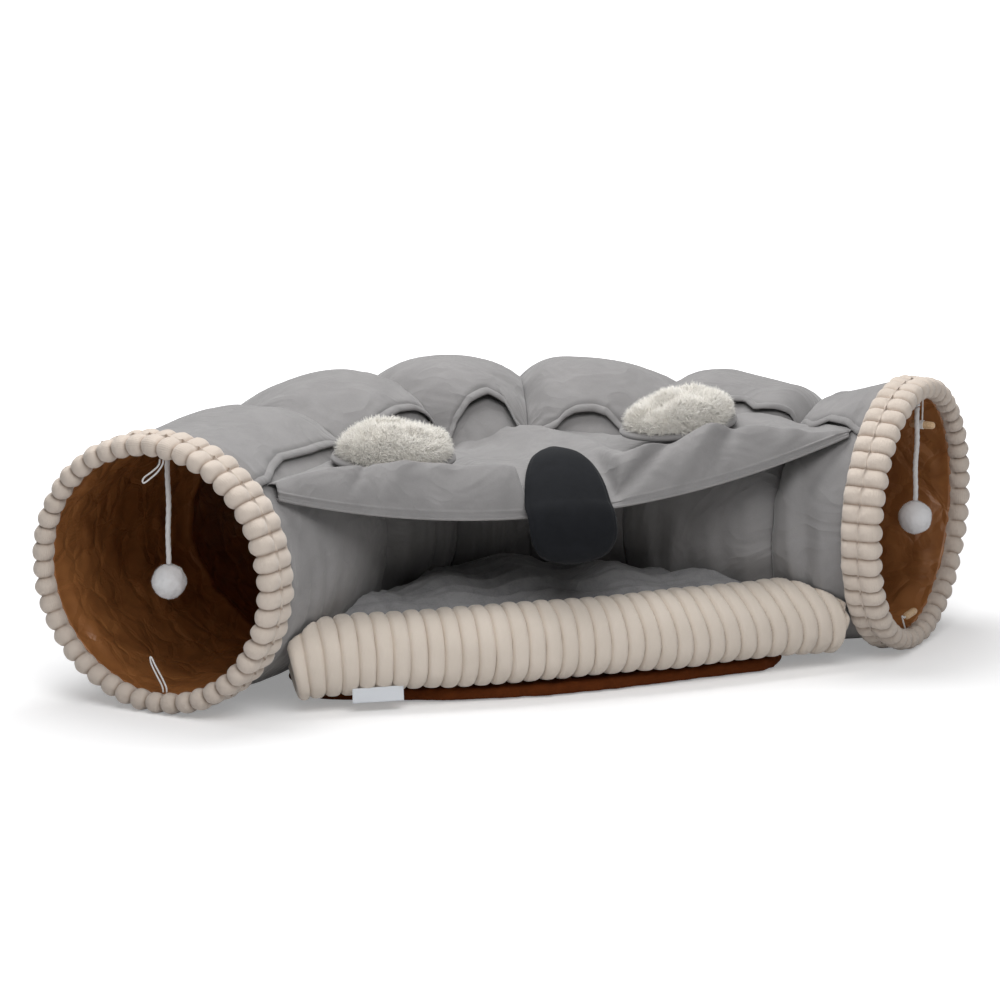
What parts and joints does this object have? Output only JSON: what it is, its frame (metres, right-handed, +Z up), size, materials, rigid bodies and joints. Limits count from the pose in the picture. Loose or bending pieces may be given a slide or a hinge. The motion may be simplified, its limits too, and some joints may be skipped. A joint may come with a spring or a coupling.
{
  "type": "cat tunnel bed",
  "caption": "Cloth cat tunnel on sprung hoops, bent round a cushioned mat with a roof flap, soft nose, ears and hanging toys.",
  "frame": {"origin": "on the floor, in the middle of the footprint's bounding box", "axes": "+X from the left mouth to the right mouth, +Y from the bed to the back of the bend, +Z up"},
  "size_m": [0.9118, 0.4699, 0.2565],
  "materials": {
    "bottom_toggle": "turned, unpainted",
    "bottom_toggle_thread": "braided cord",
    "front_bolster": "ribbed plush",
    "label_tag": "plain tape",
    "left_bottom_loop": "braided cord",
    "left_ear_back": "short suede-like pile",
    "left_ear_pile": "long fluffy pile",
    "left_end_hoop": "sprung wire",
    "left_ring_band": "ribbed plush",
    "left_ring_roll": "ribbed plush",
    "left_top_loop": "braided cord",
    "left_toy_cord": "braided cord",
    "left_toy_knot": "braided cord",
    "left_toy_pompon": "long fluffy pile",
    "lining_1": "crinkled woven cloth",
    "lining_2": "crinkled woven cloth",
    "lining_3": "crinkled woven cloth",
    "lining_4": "crinkled woven cloth",
    "lining_5": "crinkled woven cloth",
    "lining_6": "crinkled woven cloth",
    "mat_base": "crinkled woven cloth",
    "mat_cushion": "short suede-like pile",
    "nose_pad": "velvet",
    "outer_cover_1": "short suede-like pile",
    "outer_cover_2": "short suede-like pile",
    "outer_cover_3": "short suede-like pile",
    "outer_cover_4": "short suede-like pile",
    "outer_cover_5": "short suede-like pile",
    "outer_cover_6": "short suede-like pile",
    "right_ear_back": "short suede-like pile",
    "right_ear_pile": "long fluffy pile",
    "right_end_hoop": "sprung wire",
    "right_ring_band": "ribbed plush",
    "right_ring_roll": "ribbed plush",
    "right_toy_cord": "braided cord",
    "right_toy_knot": "braided cord",
    "right_toy_pompon": "long fluffy pile",
    "roof_flap": "short suede-like pile",
    "spring_hoop_1": "sprung wire",
    "spring_hoop_2": "sprung wire",
    "spring_hoop_3": "sprung wire",
    "spring_hoop_4": "sprung wire",
    "spring_hoop_5": "sprung wire",
    "spring_hoop_6": "sprung wire",
    "spring_hoop_7": "sprung wire",
    "top_toggle": "turned, unpainted",
    "top_toggle_thread": "braided cord"
  },
  "bodies": {
    "tunnel_bed": {"front_bolster": "front_bolster", "label_tag": "label_tag", "left_bottom_loop": "left_bottom_loop", "left_end_hoop": "left_end_hoop", "left_ring_band": "left_ring_band", "left_ring_roll": "left_ring_roll", "left_top_loop": "left_top_loop", "lining_1": "lining_1", "lining_2": "lining_2", "lining_3": "lining_3", "lining_4": "lining_4", "lining_5": "lining_5", "lining_6": "lining_6", "mat_base": "mat_base", "mat_cushion": "mat_cushion", "outer_cover_1": "outer_cover_1", "outer_cover_2": "outer_cover_2", "outer_cover_3": "outer_cover_3", "outer_cover_4": "outer_cover_4", "outer_cover_5": "outer_cover_5", "outer_cover_6": "outer_cover_6", "right_end_hoop": "right_end_hoop", "right_ring_band": "right_ring_band", "right_ring_roll": "right_ring_roll", "roof_flap": "roof_flap", "spring_hoop_1": "spring_hoop_1", "spring_hoop_2": "spring_hoop_2", "spring_hoop_3": "spring_hoop_3", "spring_hoop_4": "spring_hoop_4", "spring_hoop_5": "spring_hoop_5", "spring_hoop_6": "spring_hoop_6", "spring_hoop_7": "spring_hoop_7"},
    "left_toy_knot_body": {"left_toy_knot": "left_toy_knot"},
    "left_toy": {"left_toy_cord": "left_toy_cord", "left_toy_pompon": "left_toy_pompon"},
    "right_toy_knot_body": {"right_toy_knot": "right_toy_knot"},
    "right_toy": {"right_toy_cord": "right_toy_cord", "right_toy_pompon": "right_toy_pompon"},
    "nose": {"nose_pad": "nose_pad"},
    "left_ear": {"left_ear_back": "left_ear_back", "left_ear_pile": "left_ear_pile"},
    "right_ear": {"right_ear_back": "right_ear_back", "right_ear_pile": "right_ear_pile"},
    "top_toggle_body": {"top_toggle": "top_toggle", "top_toggle_thread": "top_toggle_thread"},
    "bottom_toggle_body": {"bottom_toggle": "bottom_toggle", "bottom_toggle_thread": "bottom_toggle_thread"}
  },
  "joints": [
    {"name": "left_toy_sway", "type": "hinge", "parent": "tunnel_bed", "child": "left_toy_knot_body", "pos_m": [-0.34822, -0.1227, 0.2361], "axis": [0.7314, 0.682, 0], "range_deg": [-40, 40]},
    {"name": "left_toy_swing", "type": "hinge", "parent": "left_toy_knot_body", "child": "left_toy", "pos_m": [-0.34822, -0.1227, 0.2361], "axis": [0.682, -0.7314, 0], "range_deg": [-30, 55]},
    {"name": "right_toy_sway", "type": "hinge", "parent": "tunnel_bed", "child": "right_toy_knot_body", "pos_m": [0.36577, -0.13907, 0.2312], "axis": [-0.7314, 0.682, 0], "range_deg": [-12, 40]},
    {"name": "right_toy_swing", "type": "hinge", "parent": "right_toy_knot_body", "child": "right_toy", "pos_m": [0.36577, -0.13907, 0.2312], "axis": [0.682, 0.7314, 0], "range_deg": [-60, 50]},
    {"name": "nose_lift", "type": "hinge", "parent": "tunnel_bed", "child": "nose", "pos_m": [0.0288, -0.09745, 0.20003], "axis": [-0.999, 0.0421, 0.0181], "range_deg": [0, 70]},
    {"name": "left_ear_lift", "type": "hinge", "parent": "tunnel_bed", "child": "left_ear", "pos_m": [-0.12981, -0.14495, 0.20137], "axis": [0.9874, 0.1498, -0.0512], "range_deg": [0, 75]},
    {"name": "right_ear_lift", "type": "hinge", "parent": "tunnel_bed", "child": "right_ear", "pos_m": [0.15011, -0.14133, 0.2143], "axis": [0.9705, 0.2354, 0.0519], "range_deg": [0, 75]},
    {"name": "top_toggle_swing", "type": "hinge", "parent": "tunnel_bed", "child": "top_toggle_body", "pos_m": [0.37469, -0.13098, 0.23323], "axis": [0.682, 0.7314, 0], "range_deg": [-40, 40]},
    {"name": "bottom_toggle_lift", "type": "hinge", "parent": "tunnel_bed", "child": "bottom_toggle_body", "pos_m": [0.35013, -0.1573, 0.0218], "axis": [0.7314, -0.682, 0], "range_deg": [0, 30]}
  ]
}
